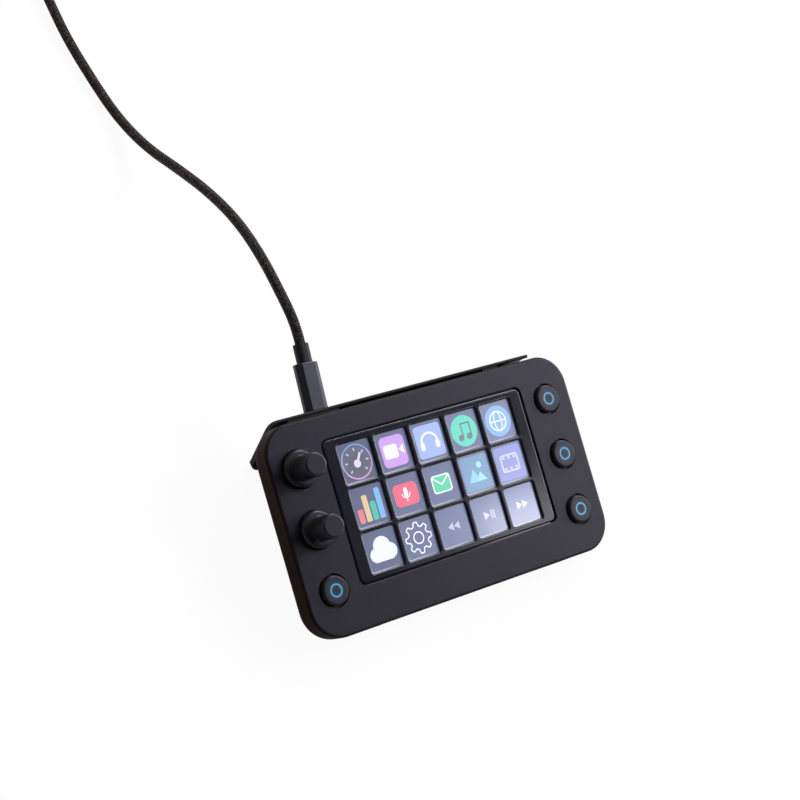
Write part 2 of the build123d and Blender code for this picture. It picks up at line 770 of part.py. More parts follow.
def plug_overmold():
    """Moulded grip: flat top and bottom, bevelled shoulders, upright sides."""
    section = Plane(origin=(port_x, overmold_nose, port_z), x_dir=(1, 0, 0), z_dir=(0, 1, 0))
    flat, wide = overmold_flat / 2, overmold_width / 2
    side, high = overmold_side / 2, overmold_height / 2
    corners = [(flat, high), (wide, side), (wide, -side), (flat, -high),
               (-flat, -high), (-wide, -side), (-wide, side), (-flat, high)]
    outline = Polygon(*corners, align=None)
    outline = fillet(outline.vertices().filter_by(lambda v: abs(v.X) < wide - 0.1), overmold_flat_round)
    outline = fillet(outline.vertices().filter_by(lambda v: abs(v.X) > wide - 0.1), overmold_side_round)
    grip = extrude(section * outline, overmold_length, dir=(0, 1, 0))
    ends = grip.faces().sort_by(Axis.Y)
    return skewed(fillet(ends[-1].edges() + ends[0].edges(), overmold_edge)) - plug_shell()


def plug_neck():
    """Short strain relief between the grip and the braided cord."""
    start = overmold_nose + overmold_length
    neck = oblong(neck_width, neck_height, neck_round, start, start + neck_length)
    return skewed(fillet(neck.faces().sort_by(Axis.Y)[-1].edges(), overmold_edge))


def round_tube(points, radius):
    """A round bar along straight runs joined by arcs as large as the runs allow."""
    radii = []
    for before, corner, after in zip(points, points[1:], points[2:]):
        turn = (corner - before).get_angle(after - corner)
        shorter = min((corner - before).length, (after - corner).length)
        radii.append(cord_bend_share * shorter / tan(radians(turn / 2)))
    path = FilletPolyline(*points, radius=radii)
    tube = sweep(Plane(origin=path @ 0, z_dir=path % 0) * Circle(radius), path=path)
    share = tube.volume / (radius ** 2 * pi * path.length)
    print("cord radii", [round(r, 1) for r in radii], "length", round(path.length, 1), "volume share", share)
    return tube


def cord_run():
    """From the neck, out and down to the table, and back to the coil's lower outer turn."""
    lead = [place * skewed(Pos(port_x, neck_end + ahead, port_z)) for ahead in (0, cord_lead)]
    points = [spot.position for spot in lead] + [Vector(*p) for p in cord_route]
    return round_tube(points, cord_diameter / 2)


def coil_ring(grow=0.0, angle=360.0):
    """The tied turns as a ring of their outer form, or a larger slice of it."""
    radius = cord_diameter / 2
    section = RectangleRounded(coil_columns * cord_diameter + 2 * grow,
                               coil_layers * cord_diameter + 2 * grow, radius)
    middle = Plane(origin=(coil_mid_radius, 0, coil_low + coil_layers * radius), x_dir=(1, 0, 0),
                   z_dir=(0, -1, 0))
    return Pos(coil_x, coil_y, 0) * Rot(0, 0, tie_from) * revolve(middle * section, Axis.Z, angle)


def cord_coil():
    """The ring of turns with the straight starts of its first and last turn."""
    def stub(z, direction):
        start = Plane(origin=(coil_side_x, coil_y, z), x_dir=(1, 0, 0), z_dir=(0, direction, 0))
        return extrude(start * Circle(cord_diameter / 2), coil_stub)

    return coil_ring() + stub(entry_z, -1) + stub(tail_z, 1)


def cord_tail():
    """From the coil's upper outer turn down and round to the far plug."""
    return round_tube([Vector(*p) for p in tail_route], cord_diameter / 2)


def cable_tie():
    """Strap round the coil's turns."""
    return coil_ring(tie_clearance + tie_thickness, tie_angle) - coil_ring(tie_clearance)


def far_bar(width, height, radius, start, end):
    """A rounded bar along X from the far end of the cord."""
    x, y, z = tail_route[-1]
    section = Plane(origin=(x + start, y, z), x_dir=(0, 1, 0), z_dir=(1, 0, 0))
    return extrude(section * RectangleRounded(width, height, radius), end - start)


def far_overmold():
    """Grip of the far plug with a short sleeve for the cord."""
    start, end = plug_a_sleeve_length, plug_a_sleeve_length + plug_a_length
    grip = far_bar(plug_a_width, plug_a_height, plug_a_round, start, end)
    ends = grip.faces().sort_by(Axis.X)[0].edges() + grip.faces().sort_by(Axis.X)[-1].edges()
    grip = fillet(ends, plug_a_edge)
    sleeve = 2 * plug_a_sleeve_radius
    return grip + far_bar(sleeve, sleeve, plug_a_sleeve_radius - 0.01, 0, start + plug_a_edge)


def far_tip():
    """Metal shell of the far plug with its contact tongue."""
    start = plug_a_sleeve_length + plug_a_length
    end = start + plug_a_tip_length
    wall = plug_a_tip_wall
    tip = far_bar(plug_a_tip_width, plug_a_tip_height, wall, start, end)
    inner_width, inner_height = plug_a_tip_width - 2 * wall, plug_a_tip_height - 2 * wall
    x, y, z = tail_route[-1]
    hollow = Pos(x + end, y, z) * Box(plug_a_tip_length - wall, inner_width, inner_height,
                                      align=(Align.MAX, Align.CENTER, Align.CENTER))
    tongue = Pos(x + start + wall, y, z - inner_height / 2) * Box(
        plug_a_tip_length - 2, inner_width, plug_a_tongue, align=(Align.MIN, Align.CENTER, Align.MIN))
    return tip - hollow + tongue


def cord_nodes():
    """The cord's own pieces, which lie on the table and aren't tilted."""
    return {"cable_run": cord_run(), "cable_coil": cord_coil(), "cable_tie": cable_tie(),
            "cable_tail": cord_tail(), "plug_a_overmold": far_overmold(), "plug_a_tip": far_tip()}


def fixed_nodes():
    """Every piece that stays with the casing."""
    nodes = {
        "front_shell": front_shell(),
        "rear_cover": rear_cover(),
        "key_frame": key_frame(),
        "touch_glass": display_layer(window_length + 2 * glass_overlap, window_height + 2 * glass_overlap,
                                     face_under, glass_under),
        "lcd_panel": display_layer(panel_length, panel_height, glass_under, panel_under),
        "lcd_backplate": display_layer(panel_length, panel_height, panel_under, backplate_under),
        "display_foam": display_layer(foam_length, foam_height, backplate_under, board_top),
        "display_flex": display_flex(),
        "main_board": main_board(),
        "knob_board": knob_board(),
        "board_link": board_link(),
        "board_screws": screws(board_posts, board_under, screw_length),
        "case_screws": screws(case_posts, case_head_z, case_screw_length),
        "processor_can": slab(can_size, can_size, 1, board_under, board_under - can_height),
        "haptic_motor": rod(motor_radius, board_under, board_under - motor_height, motor_x, motor_y),
        "usb_receptacle": usb_receptacle(),
        "ring_leds": ring_leds(),
        "stand": stand(),
        "stand_foot": stand_foot(),
        "front_feet": front_feet(),
    }
    for name, (x, y) in zip(button_names, button_spots):
        nodes[f"switch_{name}"] = button_switch(x, y)
    for name, (x, y) in zip(knob_names, knob_spots):
        nodes[f"encoder_body_{name}"] = encoder_body(x, y)
        nodes[f"encoder_bushing_{name}"] = encoder_bushing(x, y)
        nodes[f"encoder_nut_{name}"] = encoder_nut(x, y)
    return nodes


def moving_nodes():
    """Knobs with their shafts and plungers, and buttons with their rings."""
    nodes = {}
    for name, (x, y) in zip(knob_names, knob_spots):
        nodes[f"knob_{name}"] = knob(x, y)
        nodes[f"encoder_shaft_{name}"] = encoder_shaft(x, y)
        nodes[f"push_plunger_{name}"] = push_plunger(x, y)
    for name, (x, y) in zip(button_names, button_spots):
        nodes[f"button_{name}"] = button_cap(x, y)
        nodes[f"ring_{name}"] = button_ring(x, y)
    return nodes


def plug_nodes():
    """The USB-C plug in the port."""
    return {"plug_tip": plug_tip(), "plug_overmold": plug_overmold(), "plug_neck": plug_neck()}


os.makedirs("parts", exist_ok=True)
object_nodes = {**fixed_nodes(), **moving_nodes()}
on_table = Pos(0, 0, table_drop) * Rot(tilt, 0, 0)
object_box = Compound(children=[on_table * node for node in object_nodes.values()]).bounding_box()
shift_x = -(object_box.min.X + object_box.max.X) / 2
shift_y = -(object_box.min.Y + object_box.max.Y) / 2
place = Pos(shift_x, shift_y, 0) * on_table

for node_name, node_shape in {**object_nodes, **plug_nodes()}.items():
    export_step(place * node_shape, f"parts/{node_name}.step")
for node_name, node_shape in cord_nodes().items():
    export_step(node_shape, f"parts/{node_name}.step")
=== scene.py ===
import json
from math import cos, pi, radians, sin

import bpy
import numpy as np
from mathutils import Matrix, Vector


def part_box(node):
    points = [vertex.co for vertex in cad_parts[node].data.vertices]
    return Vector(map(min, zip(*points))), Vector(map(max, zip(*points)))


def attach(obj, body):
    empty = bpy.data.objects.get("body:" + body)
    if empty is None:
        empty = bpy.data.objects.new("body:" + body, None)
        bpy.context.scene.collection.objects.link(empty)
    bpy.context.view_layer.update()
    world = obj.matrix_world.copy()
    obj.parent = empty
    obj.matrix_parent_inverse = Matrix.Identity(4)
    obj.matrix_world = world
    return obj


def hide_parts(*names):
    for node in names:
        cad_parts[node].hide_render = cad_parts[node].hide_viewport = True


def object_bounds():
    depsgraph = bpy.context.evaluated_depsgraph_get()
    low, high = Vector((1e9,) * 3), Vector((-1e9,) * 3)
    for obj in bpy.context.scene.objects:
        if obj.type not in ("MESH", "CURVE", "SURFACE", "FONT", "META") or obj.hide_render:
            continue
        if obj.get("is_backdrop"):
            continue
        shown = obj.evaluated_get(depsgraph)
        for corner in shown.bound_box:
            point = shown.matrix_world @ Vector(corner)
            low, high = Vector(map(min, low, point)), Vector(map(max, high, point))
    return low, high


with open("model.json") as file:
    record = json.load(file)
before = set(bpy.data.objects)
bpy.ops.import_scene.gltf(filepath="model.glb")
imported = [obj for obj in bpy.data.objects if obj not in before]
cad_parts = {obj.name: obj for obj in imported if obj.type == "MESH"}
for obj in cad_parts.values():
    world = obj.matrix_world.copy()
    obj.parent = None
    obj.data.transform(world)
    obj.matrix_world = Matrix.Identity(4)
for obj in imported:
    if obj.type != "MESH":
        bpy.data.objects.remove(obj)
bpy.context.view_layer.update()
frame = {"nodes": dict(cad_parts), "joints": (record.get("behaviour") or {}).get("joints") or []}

# ---- camera ----
# A long lens on a stand at the front left, looking down on the face and rolled so that the rows
# of keys rise to the right.
lens = bpy.data.cameras.new("camera")
lens.lens = 79.757
camera = bpy.data.objects.new("camera", lens)
camera.location = (-0.40172, -0.16673, 0.58568)
camera.rotation_euler = [radians(angle) for angle in (30.9822, -24.5783, -28.1312)]
bpy.context.scene.collection.objects.link(camera)
bpy.context.scene.camera = camera
bpy.context.scene.view_settings.view_transform = "Standard"

# ---- table and studio light ----
# A white table in a studio with a pale back wall and a dark ceiling. Of two soft boxes at the right
# one glances off the screen's lower corner. Two lower ones pick out the rounded edges, a broad one
# hangs overhead and a small warm one stands behind the left edge.
class Level:
    """A socket in an expression: every operator adds the Math node that works it out."""

    def __init__(self, finish, socket):
        self.finish, self.socket = finish, socket

    def math(self, operation, *others):
        return self.finish.node("Math", {"operation": operation}, dict(enumerate((self, *others))))

    def __add__(self, other):
        return self.math("ADD", other)

    def __sub__(self, other):
        return self.math("SUBTRACT", other)

    def __rsub__(self, other):
        return self.finish.node("Math", {"operation": "SUBTRACT"}, {0: other, 1: self})

    def __mul__(self, other):
        return self.math("MULTIPLY", other)

    __radd__, __rmul__ = __add__, __mul__


class Finish:
    """A material made of nodes: node() adds any node, surface() ends it with a shader."""

    def __init__(self, name, owner=None):
        self.material = owner or bpy.data.materials.new(name)
        self.material.use_nodes = True
        self.tree = self.material.node_tree
        self.tree.nodes.clear()

    def node(self, kind, settings=None, inputs=None, out=0):
        """One node: its settings first, then the values or links of its sockets."""
        made = self.tree.nodes.new("ShaderNode" + kind)
        for name, value in (settings or {}).items():
            setattr(made, name, value)
        for name, value in (inputs or {}).items():
            if isinstance(value, Level):
                self.tree.links.new(value.socket, made.inputs[name])
            else:
                made.inputs[name].default_value = value
        return Level(self, made.outputs[out]) if made.outputs else made

    def place(self, across=1.0, along=1.0, up=1.0):
        """The point's place on the piece, stretched by a factor each way."""
        spot = self.node("TexCoord", out="Object")
        return self.node("Mapping", None, {"Vector": spot, "Scale": (across, along, up)})

    def noise(self, scale, detail=2.0, at=None, sharpness=0.5):
        """Cloudy noise from 0 to 1, with scale clouds to the metre."""
        return self.node("TexNoise", None, {"Vector": at or self.place(), "Scale": scale,
                                            "Detail": detail, "Roughness": sharpness})

    def spread(self, value, low, high, to_low=0.0, to_high=1.0):
        """A value between low and high, carried over to another range and held inside it."""
        return self.node("MapRange", None, {0: value, 1: low, 2: high, 3: to_low, 4: to_high})

    def mix(self, share, first, second):
        """From the first colour to the second by a share."""
        colours = [c if isinstance(c, Level) else (*c, 1) for c in (first, second)]
        return self.node("Mix", {"data_type": "RGBA"}, {0: share, 6: colours[0], 7: colours[1]}, out=2)

    def shader(self, sockets, relief=None, depth=0.0001):
        """A shader with these sockets, and a relief as deep as depth in metres."""
        if relief:
            sockets["Normal"] = self.node("Bump", None, {"Height": relief, "Distance": depth})
        for name in ("Base Color", "Emission Color"):
            if name in sockets and not isinstance(sockets[name], Level):
                sockets[name] = (*sockets[name], 1)
        return self.node("BsdfPrincipled", None, sockets)

    def surface(self, sockets, relief=None, depth=0.0001):
        """The material that this one shader makes."""
        self.node("OutputMaterial", None, {"Surface": self.shader(sockets, relief, depth)})
        return self.material


table_size = 6.0
table_white = 0.86
white_to_camera = 0.95     # share of plain white in the table as the camera sees it
white_in_gloss = 0.2       # and as polished surfaces show it
wall_light, ceiling_light = 0.9, 0.15
front_share, back_share = 0.2, 1.0
back_direction = (0.6, 0.8, 0)

reach = table_size / 2
table_corners = [(-reach, -reach, 0), (reach, -reach, 0), (reach, reach, 0), (-reach, reach, 0)]
sheet = bpy.data.meshes.new("table")
sheet.from_pydata(table_corners, [], [(0, 1, 2, 3)])
table = bpy.data.objects.new("table", sheet)
bpy.context.scene.collection.objects.link(table)
table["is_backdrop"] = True
paint = Finish("table_white")
seen_straight, *seen_in_gloss = (paint.node("LightPath", out=f"Is {kind} Ray")
                                 for kind in ("Camera", "Glossy", "Transmission"))
diffuse = paint.node("BsdfDiffuse", None, {"Color": (table_white, table_white, table_white, 1)})
glow = paint.node("Emission", None, {"Color": (1, 1, 1, 1), "Strength": 1.0})
share = seen_straight * white_to_camera + sum(seen_in_gloss) * white_in_gloss
seen = paint.node("MixShader", None, {0: share, 1: diffuse, 2: glow})
paint.node("OutputMaterial", None, {"Surface": seen})
sheet.materials.append(paint.material)

room = bpy.data.worlds.new("room")
bpy.context.scene.world = room
air = Finish("room", room)
bearing = air.node("TexCoord", out="Generated")
height = air.node("SeparateXYZ", None, {0: bearing}, out="Z")
to_back = air.node("VectorMath", {"operation": "DOT_PRODUCT"}, {0: bearing, 1: back_direction}, out="Value")
light = (air.spread(height, 0.1, 0.55, wall_light, ceiling_light)
         * air.spread(to_back, -0.6, 0.8, front_share, back_share))
walls = air.node("Background", None, {"Color": (0.96, 0.98, 1, 1), "Strength": light})
air.node("OutputWorld", None, {"Surface": walls})


def soft_box(name, middle, along, width, height, power, colour):
    """A square lamp that faces the keypad, with its width along a given direction."""
    lamp = bpy.data.lights.new(name, "AREA")
    lamp.shape, lamp.size, lamp.size_y = "RECTANGLE", width, height
    lamp.energy, lamp.color = power, colour
    made = bpy.data.objects.new(name, lamp)
    made.location = middle
    behind = np.array(middle) / np.linalg.norm(middle)
    sideways = np.array(along) - np.dot(along, behind) * behind
    sideways /= np.linalg.norm(sideways)
    made.rotation_euler = Matrix([sideways, np.cross(behind, sideways), behind]).transposed().to_euler()
    bpy.context.scene.collection.objects.link(made)


soft_box("screen_box", (1.079, -0.571, 0.983), (0.705, 0.259, -0.660), 0.475, 0.35, 4.7, (0.98, 0.96, 1))
soft_box("right_box", (1.205, 0.068, 1.206), (0.613, 0.738, -0.281), 0.6, 0.5, 15.2, (0.88, 0.86, 1))
soft_box("side_box", (1.48, -0.10, 0.50), (0, 1, 0), 0.4, 0.3, 8, (0.94, 0.92, 1))
soft_box("edge_box", (0.83, 1.03, 0.86), (0.79, -0.61, 0), 0.6, 0.4, 18, (0.92, 0.91, 1))
soft_box("top_box", (-0.17, 0.59, 1.69), (1, 0, 0), 1.6, 1.2, 6, (0.94, 0.96, 1))
soft_box("warm_box", (-0.45, 0.60, 0.04), (0.8, 0.6, 0), 0.4, 0.06, 0.8, (1, 0.42, 0.14))

# ---- USB cord ----
# A round jacket with a braided sleeve of black and brown yarn. It leaves the plug's neck, arches down
# to the table and ends in a tied coil of eight turns in two layers, with a USB-A plug.
mm = 0.001
cord_diameter = 4.2 * mm
cord_sides = 20
cord_spacing = 0.6 * mm    # from one ring of its mesh to the next
braid_pitch = 1.1 * mm     # along the cord from one yarn to the next
yarns = 12                 # round the cord, each way
cord_route = [(-41.009, 67.584, 37.622), (-40.56, 75.18, 40.09), (-42.9, 88.0, 43.8),
              (-43.6, 105.5, 44.1), (-43.5, 125.0, 39.7), (-44.5, 144.5, 31.6), (-46.0, 164.0, 20.5),
              (-48.3, 184.0, 8.6), (-51.2, 205.0, 2.3), (-54.8, 228.0, 2.2), (-57.2, 249.5, 2.4),
              (-57.5, 270.0, 3.1), (-57.5, 290.0, 3.1)]
tail_route = [(-57.5, 324.0, 7.3), (-57.5, 340.0, 7.3), (-50.8, 355.5, 5.4), (-37.0, 364.5, 4.1),
              (-21.5, 364.5, 4.1)]
coil_middle = (-27.2, 307.0)
coil_radii = (30.3, 26.1, 21.9, 17.7)
layer_heights = (3.1, 7.3)
points_per_turn = 16
crossing = 0.3             # last part of a turn, in which it moves over to the next place
inward_bulge = 1.7         # the climbing turn gives way to its neighbours by this much


def coil_points():
    """Corners of a polygon round each turn's circle. Near its end a turn slides to the next turn's
    radius and height, and the innermost turn bows inward while it climbs between the layers."""
    turn = (np.arange(2 * len(coil_radii) * points_per_turn) + 0.5) / points_per_turn
    radii = np.array([*coil_radii, *coil_radii[::-1], coil_radii[0]])
    heights = np.repeat(layer_heights, [len(coil_radii), len(coil_radii) + 1])
    lap = turn.astype(int)
    slide = np.clip((turn - lap - 1 + crossing) / crossing, 0, 1)
    slide = slide * slide * (3 - 2 * slide)
    radius = radii[lap] + (radii[lap + 1] - radii[lap]) * slide
    height = heights[lap] + (heights[lap + 1] - heights[lap]) * slide
    climbing = heights[lap + 1] != heights[lap]
    radius = radius - inward_bulge * climbing * 2 * np.sqrt(slide * (1 - slide))
    angle = pi - 2 * pi * turn
    radius = radius / cos(pi / points_per_turn)
    x, y = coil_middle
    return np.stack([x + radius * np.cos(angle), y + radius * np.sin(angle), height], 1)


def smooth_line(name, points, steps):
    """Points along the smooth line that takes the given ones as its control points."""
    curve = bpy.data.curves.new(name, "CURVE")
    curve.dimensions = "3D"
    curve.resolution_u = steps
    spline = curve.splines.new("NURBS")
    spline.points.add(len(points) - 1)
    spline.points.foreach_set("co", np.column_stack([points, np.ones(len(points))]).ravel())
    spline.order_u = 3
    spline.use_endpoint_u = True
    holder = bpy.data.objects.new(name, curve)
    line = bpy.data.meshes.new_from_object(holder)
    read = np.empty(3 * len(line.vertices))
    line.vertices.foreach_get("co", read)
    bpy.data.objects.remove(holder)
    bpy.data.curves.remove(curve)
    bpy.data.meshes.remove(line)
    return read.reshape(-1, 3)


def evenly(line, step):
    """The same line with points an even step apart."""
    along = np.concatenate([[0], np.cumsum(np.linalg.norm(np.diff(line, axis=0), axis=1))])
    spots = np.linspace(0, along[-1], int(along[-1] / step) + 1)
    return np.column_stack([np.interp(spots, along, line[:, i]) for i in range(3)]), along[-1]


def ring_faces(rings, around, closed=False):
    """Quads between each ring of points and the next, with both ends filled, or with the last
    ring joined to the first."""
    index = np.arange(rings * around).reshape(rings, around)
    beside = np.roll(index, -1, axis=1)
    after, after_beside = np.roll(index, -1, axis=0), np.roll(beside, -1, axis=0)
    quads = np.stack([index, beside, after_beside, after], axis=-1)
    faces = quads.reshape(-1, 4).tolist() if closed else quads[:-1].reshape(-1, 4).tolist()
    return faces if closed else faces + [index[0][::-1].tolist(), index[-1].tolist()]


def new_piece(name, points, faces, body, material, uv=None):
    """A smooth-shaded mesh from points and faces, riding on a body of the frame."""
    mesh = bpy.data.meshes.new(name)
    mesh.from_pydata(np.asarray(points).reshape(-1, 3).tolist(), [], faces)
    mesh.polygons.foreach_set("use_smooth", np.ones(len(mesh.polygons), bool))
    if uv is not None:
        layer = mesh.uv_layers.new(name="run")
        layer.data.foreach_set("uv", np.asarray(uv, float).ravel())
    mesh.materials.append(material)
    piece = bpy.data.objects.new(name, mesh)
    bpy.context.scene.collection.objects.link(piece)
    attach(piece, body)
    return piece


def braided_sleeve():
    """Two sets of flat yarns that wind opposite ways and pass over and under each other: each is
    highest along its own middle, and the parity of the two yarns' numbers says which lies on top."""
    finish = Finish("braided_sleeve")
    run = finish.node("SeparateXYZ", None, {0: finish.node("TexCoord", out="UV")}, out="X")
    turn = finish.node("SeparateXYZ", None, {0: finish.node("TexCoord", out="UV")}, out="Y")
    left, right = turn * yarns + run, turn * yarns - run
    left_index, right_index = left.math("FLOOR"), right.math("FLOOR")
    over = (left_index + right_index).math("PINGPONG", 1.0)
    left_crown = (left - left_index - 0.5).math("ABSOLUTE")
    right_crown = (right - right_index - 0.5).math("ABSOLUTE")
    crown = 1 - (left_crown * over + right_crown * (1 - over)) * 2
    yarn = finish.node("TexWhiteNoise", {"noise_dimensions": "2D"},
                       {"Vector": finish.node("CombineXYZ", None, {0: left_index, 1: right_index})})
    brown = finish.spread(yarn, 0.55, 0.95)
    colour = finish.mix(brown, (0.008, 0.007, 0.007), (0.085, 0.062, 0.045))
    # painted shade: low down between the yarns the colour darkens to near black
    colour = finish.mix(finish.spread(crown, 0.1, 0.6, 1.0, 0.0), colour, (0.001, 0.001, 0.001))
    return finish.surface({"Base Color": colour, "Roughness": finish.spread(crown, 0, 1, 0.8, 0.5),
                           "Specular IOR Level": 0.2}, relief=crown, depth=0.00022)


route = np.concatenate([cord_route, coil_points(), tail_route]) * mm
cord_line, cord_length = evenly(smooth_line("cord_line", route, steps=24), cord_spacing)
# Round every point of the line lies a ring of points, half a diameter off it, at equal angles
# between the level direction beside the cord and the one square to both.
heading = np.gradient(cord_line, axis=0)
heading /= np.linalg.norm(heading, axis=1, keepdims=True)
side = np.cross(heading, (0, 0, 1))
side /= np.linalg.norm(side, axis=1, keepdims=True)
lift = np.cross(side, heading)
angle = 2 * pi * np.arange(cord_sides) / cord_sides
rings = (cord_line[:, None] + cord_diameter / 2 * (np.cos(angle)[:, None] * side[:, None]
                                                   - np.sin(angle)[:, None] * lift[:, None]))
faces = ring_faces(*rings.shape[:2])
step = cord_length / (len(cord_line) - 1) / braid_pitch
ring, place = np.divmod(np.arange((len(cord_line) - 1) * cord_sides), cord_sides)
corners = np.stack([[ring, place], [ring, place + 1], [ring + 1, place + 1], [ring + 1, place]], axis=1)
uv = np.stack([corners[0] * step, corners[1] / cord_sides], axis=-1).transpose(1, 0, 2).reshape(-1, 2)
uv = np.concatenate([uv, np.zeros((2 * cord_sides, 2))])
cable = new_piece("cable", rings, faces, "casing", braided_sleeve(), uv)
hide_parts("cable_run", "cable_coil", "cable_tail")

# ---- cable tie ----
# A hook-and-loop strap round the coil's eight turns. Its end laps over itself on the top.
tie_from, tie_angle = radians(-60.0), radians(24.0)
tie_thickness = 0.8 * mm
bundle_width, bundle_height = 16.8 * mm, 8.4 * mm
bundle_round = 2.2 * mm
coil_mid_radius = 24.0 * mm
tie_lap = 9.0 * mm         # length of the end that lies on the strap
tie_climb = 3.0 * mm       # over which the end climbs onto the strap
tie_clearance = 0.05 * mm  # between the strap and the bundle


def strap_line(count):
    """Once round a rounded box and on over the lap, as (out, up) points and their normals. A point
    lies at a distance along its normal from the box inside the rounding: straight sides and quarter
    turns follow each other, and the distance grows by the strap's thickness where the end climbs."""
    flat, tall = bundle_width - 2 * bundle_round, bundle_height - 2 * bundle_round
    bend = pi / 2 * bundle_round
    lengths = np.array([flat, bend, tall, bend, flat, bend, tall, bend])
    loop = lengths.sum()
    spots = np.linspace(flat * 0.1, loop + flat * 0.1 + tie_lap, count)
    ends = np.concatenate([[0], np.cumsum(lengths), loop + np.cumsum(lengths[:2])])
    run = np.searchsorted(ends, spots, side="right") - 1
    share = (spots - ends[run]) / np.concatenate([lengths, lengths[:2]])[run]
    run = run % len(lengths)
    turned = np.where(run % 2 == 1, share, 0.0)
    heading = pi / 2 - (run // 2 + turned) * pi / 2
    start = np.array([[-1, 1], [1, 1], [1, 1], [1, -1], [1, -1], [-1, -1], [-1, -1], [-1, 1]])[run]
    travel = np.array([[2, 0], [0, 0], [0, -2], [0, 0], [-2, 0], [0, 0], [0, 2], [0, 0]])[run]
    base = (start + travel * share[:, None]) * [flat / 2, tall / 2]
    normal = np.column_stack([np.cos(heading), np.sin(heading)])
    over = np.clip((spots - loop - flat * 0.05) / tie_climb, 0, 1)
    height = bundle_round + tie_clearance + over * over * (3 - 2 * over) * tie_thickness
    return base + normal * height[:, None], normal


# The strap's section, flat with bevelled edges, is carried along that line, and its width lies
# round the coil's middle: (out, up) become a radius and a height.
line, normal = strap_line(count=160)
across = np.array([-0.5, -0.46, 0.46, 0.5, 0.5, 0.46, -0.46, -0.5])
out = np.array([0.25, 0.0, 0.0, 0.25, 0.75, 1.0, 1.0, 0.75]) * tie_thickness * 0.9
section = line[:, None] + normal[:, None] * out[:, None]
bearing = tie_from + tie_angle / 2 + across * tie_angle
radius = coil_mid_radius + section[..., 0]
middle = np.array([*coil_middle, sum(layer_heights) / 2]) * mm
strap = np.stack([radius * np.cos(bearing), radius * np.sin(bearing), section[..., 1]], -1) + middle
loops = Finish("hook_and_loop")
fuzz = loops.noise(2600, 4.0, sharpness=0.8)
weave = loops.node("TexWave", {"wave_type": "BANDS", "bands_direction": "Z"},
                   {"Vector": loops.place(), "Scale": 900.0, "Distortion": 3.0})
loops.surface({"Base Color": loops.mix(fuzz, (0.006, 0.006, 0.007), (0.03, 0.03, 0.032)), "Roughness": 0.95,
               "Sheen Weight": 0.3}, relief=fuzz + weave * 0.4, depth=0.0003)
tie = new_piece("coil_tie", strap, ring_faces(*strap.shape[:2]), "casing", loops.material)
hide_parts("cable_tie")

# ---- plugs ----
# Zinc-nickel plated steel tips, drawn and folded, in satin moulded grips. The neck is of softer,
# duller plastic.
def dress(material, *nodes):
    """Gives frame nodes a finish."""
    for name in nodes:
        for holder in frame["nodes"][name].material_slots:
            holder.material = material


drawn = Finish("plated_tip")
streaks = drawn.noise(700, 3.0, drawn.place(1, 0.05, 1))
drawn.surface({"Base Color": drawn.mix(streaks, (0.50, 0.49, 0.47), (0.66, 0.65, 0.62)), "Metallic": 1.0,
               "Roughness": drawn.spread(streaks, 0.3, 0.7, 0.22, 0.36)}, relief=streaks, depth=0.00001)
dress(drawn.material, "plug_tip", "plug_a_tip", "usb_receptacle")
grip = Finish("moulded_grip")
grain = grip.noise(3200, 3.0)
blotch = grip.noise(160, 2.0)
grip.surface({"Base Color": grip.mix(blotch, (0.0175, 0.0190, 0.0270), (0.0230, 0.0250, 0.0350)),
              "Roughness": grip.spread(grain, 0.3, 0.7, 0.28, 0.38), "Specular IOR Level": 0.36},
             relief=grain, depth=0.00003)
dress(grip.material, "plug_overmold", "plug_a_overmold")
neck = Finish("moulded_neck")
grain = neck.noise(2800, 3.0)
neck.surface({"Base Color": neck.mix(grain, (0.0085, 0.0090, 0.0105), (0.0130, 0.0135, 0.0150)),
              "Roughness": neck.spread(grain, 0.3, 0.7, 0.40, 0.50), "Specular IOR Level": 0.16},
             relief=grain, depth=0.00003)
dress(neck.material, "plug_neck")

# ---- casing ----
# Two injection moulded shells. The face and the back have a soft-touch coat, near-black charcoal with
# a violet cast. The walls round them carry painted shade, dark and brown for a warm painted reflection.
knob_turn = next(joint for joint in frame["joints"] if joint["name"] == "turn_lower")
face_out = np.array(knob_turn["axis"])
face_up = np.cross(face_out, (1, 0, 0))
face_middle = np.array([0, *knob_turn["pos_m"][1:]])
case_length, case_height = 150.0 * mm, 84.4 * mm
case_corner = 13.0 * mm
face_round = 1.2 * mm
slab_tilt = float(np.arctan2(-face_out[1], face_out[2]))
coat = Finish("soft_touch_and_painted_wall_shade")
grain = coat.noise(4200, 3.0, sharpness=0.6)
cloud = coat.noise(28, 3.0)
smudge = coat.noise(60, 4.0, sharpness=0.6)
# The walls, which carry painted shade, are where a point lies a corner's radius outside the box of
# the corners' centres.
on_slab = coat.node("Mapping", {"vector_type": "TEXTURE"},
                    {"Vector": coat.node("TexCoord", out="Object"), "Location": tuple(face_middle),
                     "Rotation": (slab_tilt, 0, 0)})
in_face = coat.node("VectorMath", {"operation": "MULTIPLY"}, {0: on_slab, 1: (1, 1, 0)})
folded = coat.node("VectorMath", {"operation": "ABSOLUTE"}, {0: in_face})
centres = (case_length / 2 - case_corner, case_height / 2 - case_corner, 0)
past = coat.node("VectorMath", {"operation": "SUBTRACT"}, {0: folded, 1: centres})
past = coat.node("VectorMath", {"operation": "MAXIMUM"}, {0: past, 1: (0, 0, 0)})
outward = coat.node("VectorMath", {"operation": "LENGTH"}, {0: past}, out="Value")
wall_shade_share = coat.spread(outward, case_corner - face_round * 0.8, case_corner - face_round * 0.2)
coated = coat.shader({"Base Color": coat.mix(cloud, (0.0115, 0.0100, 0.0160), (0.0135, 0.0118, 0.0185)),
                      "Roughness": coat.spread(grain + smudge * 0.5, 0.4, 1.1, 0.35, 0.47),
                      "Specular IOR Level": 0.16}, relief=grain, depth=0.00002)
